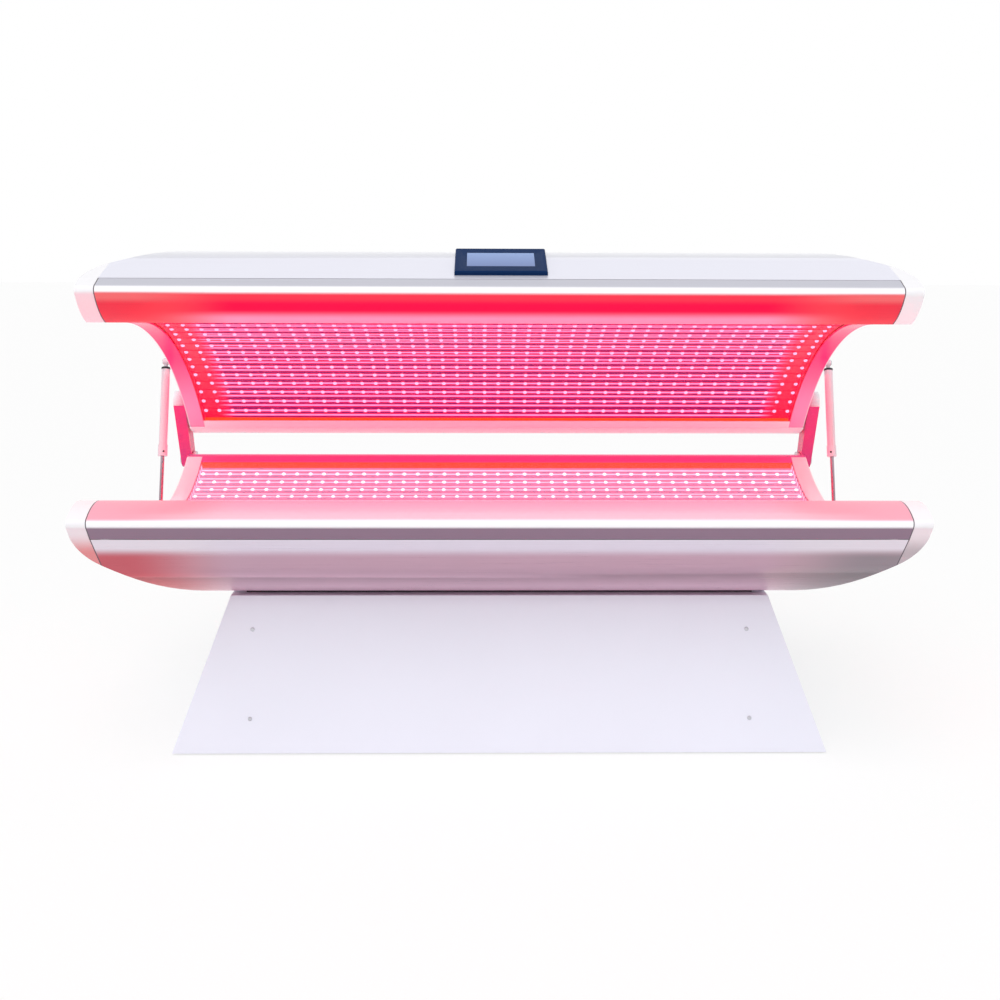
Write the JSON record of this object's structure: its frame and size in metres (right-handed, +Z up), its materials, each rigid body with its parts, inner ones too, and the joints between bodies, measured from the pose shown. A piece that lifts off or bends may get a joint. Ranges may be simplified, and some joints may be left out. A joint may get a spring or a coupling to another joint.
{
  "type": "light therapy bed",
  "caption": "Clamshell light therapy bed on a pedestal: a lit curved bed and a hinged canopy held by gas struts, with a touch panel on the canopy's front.",
  "frame": {"origin": "floor under the middle of the pedestal", "axes": "+X along the bed to the right, +Y to the rear, +Z up"},
  "size_m": [1.926, 0.9084, 1.1827],
  "materials": {
    "white_sheet": "satin",
    "frame_paint": "satin",
    "black_rubber": "matte",
    "belly_metal": "brushed",
    "cover_white": "gloss",
    "rim_aluminium": "brushed",
    "white_plastic": "gloss",
    "acrylic": "clear",
    "led_board": "satin",
    "fan_plastic": "matte",
    "bezel_plastic": "satin",
    "screen_glass": "gloss",
    "steel": "satin",
    "white_paint": "gloss",
    "chrome_rod": "polished",
    "supply_case": "satin",
    "black_plastic": "satin"
  },
  "bodies": {
    "base": {"pedestal_panel_front": "white_sheet", "pedestal_panel_rear": "white_sheet", "pedestal_frame": "frame_paint", "foot_middle": "black_rubber", "plinth_spacer": "black_rubber", "pedestal_panel_left": "white_sheet", "pedestal_panel_right": "white_sheet", "foot_front_left": "black_rubber", "foot_front_right": "black_rubber", "foot_rear_left": "black_rubber", "foot_rear_right": "black_rubber", "bed_cover": "belly_metal", "bed_pan": "white_sheet", "bed_rim_front": "rim_aluminium", "bed_rim_rear": "rim_aluminium", "bed_acrylic": "acrylic", "bed_led_panel": "led_board", "bed_cap_left": "white_plastic", "bed_cap_right": "white_plastic", "bed_end_frame_left": "white_plastic", "bed_end_frame_right": "white_plastic", "bed_fan_frame_left": "fan_plastic", "bed_fan_frame_right": "fan_plastic", "hinge_bracket_left": "white_paint", "hinge_bracket_right": "white_paint", "hinge_pin_left": "steel", "hinge_pin_right": "steel", "strut_stud_low_left": "steel", "strut_stud_low_right": "steel", "power_supply_left": "supply_case", "power_supply_right": "supply_case", "power_inlet": "black_plastic", "switch_frame": "black_plastic"},
    "canopy": {"canopy_cover": "cover_white", "canopy_pan": "white_sheet", "canopy_rim_front": "rim_aluminium", "canopy_rim_rear": "rim_aluminium", "canopy_acrylic": "acrylic", "canopy_led_panel": "led_board", "canopy_cap_left": "white_plastic", "canopy_cap_right": "white_plastic", "canopy_end_frame_left": "white_plastic", "canopy_end_frame_right": "white_plastic", "canopy_fan_frame_left": "fan_plastic", "canopy_fan_frame_right": "fan_plastic", "touch_bezel": "bezel_plastic", "touch_screen": "screen_glass", "hinge_arm_left": "white_paint", "hinge_arm_right": "white_paint", "strut_stud_top_left": "steel", "strut_stud_top_right": "steel"},
    "strut_rod_left": {"strut_rod_left": "chrome_rod"},
    "strut_cylinder_left": {"strut_cylinder_left": "white_paint"},
    "strut_rod_right": {"strut_rod_right": "chrome_rod"},
    "strut_cylinder_right": {"strut_cylinder_right": "white_paint"},
    "bed_fan_rotor_left": {"bed_fan_rotor_left": "fan_plastic"},
    "canopy_fan_rotor_left": {"canopy_fan_rotor_left": "fan_plastic"},
    "bed_fan_rotor_right": {"bed_fan_rotor_right": "fan_plastic"},
    "canopy_fan_rotor_right": {"canopy_fan_rotor_right": "fan_plastic"},
    "switch_rocker": {"switch_rocker": "black_plastic"}
  },
  "joints": [
    {"name": "canopy_hinge", "type": "hinge", "parent": "base", "child": "canopy", "pos_m": [0, 0.44, 0.585], "axis": [-1, 0, 0], "range_deg": [-29.2, 0]},
    {"name": "strut_rod_tilt_left", "type": "hinge", "parent": "base", "child": "strut_rod_left", "pos_m": [-0.901, 0.09668, 0.47212], "axis": [-1, 0, 0], "range_deg": [-14.6, 0]},
    {"name": "strut_cylinder_tilt_left", "type": "hinge", "parent": "canopy", "child": "strut_cylinder_left", "pos_m": [-0.901, 0.23895, 0.88532], "axis": [-1, 0, 0], "range_deg": [0, 14.6]},
    {"name": "strut_rod_tilt_right", "type": "hinge", "parent": "base", "child": "strut_rod_right", "pos_m": [0.901, 0.09668, 0.47212], "axis": [-1, 0, 0], "range_deg": [-14.6, 0]},
    {"name": "strut_cylinder_tilt_right", "type": "hinge", "parent": "canopy", "child": "strut_cylinder_right", "pos_m": [0.901, 0.23895, 0.88532], "axis": [-1, 0, 0], "range_deg": [0, 14.6]},
    {"name": "bed_fan_spin_left", "type": "hinge", "parent": "base", "child": "bed_fan_rotor_left", "pos_m": [-0.38, 0.09, 0.3795], "axis": [0, 0, 1], "continuous": true},
    {"name": "canopy_fan_spin_left", "type": "hinge", "parent": "canopy", "child": "canopy_fan_rotor_left", "pos_m": [-0.38, 0.27571, 1.00846], "axis": [0, 0.4879, 0.8729], "continuous": true},
    {"name": "bed_fan_spin_right", "type": "hinge", "parent": "base", "child": "bed_fan_rotor_right", "pos_m": [0.38, 0.09, 0.3795], "axis": [0, 0, 1], "continuous": true},
    {"name": "canopy_fan_spin_right", "type": "hinge", "parent": "canopy", "child": "canopy_fan_rotor_right", "pos_m": [0.38, 0.27571, 1.00846], "axis": [0, 0.4879, 0.8729], "continuous": true},
    {"name": "switch_rock", "type": "hinge", "parent": "base", "child": "switch_rocker", "pos_m": [0.886, -0.17, 0.47], "axis": [0, 1, 0], "range_deg": [-8, 8]}
  ],
  "couplings": [
    {"joint": "strut_rod_tilt_left", "follows": "canopy_hinge", "ratio": 0.5},
    {"joint": "strut_cylinder_tilt_left", "follows": "canopy_hinge", "ratio": -0.5},
    {"joint": "strut_rod_tilt_right", "follows": "canopy_hinge", "ratio": 0.5},
    {"joint": "strut_cylinder_tilt_right", "follows": "canopy_hinge", "ratio": -0.5}
  ]
}
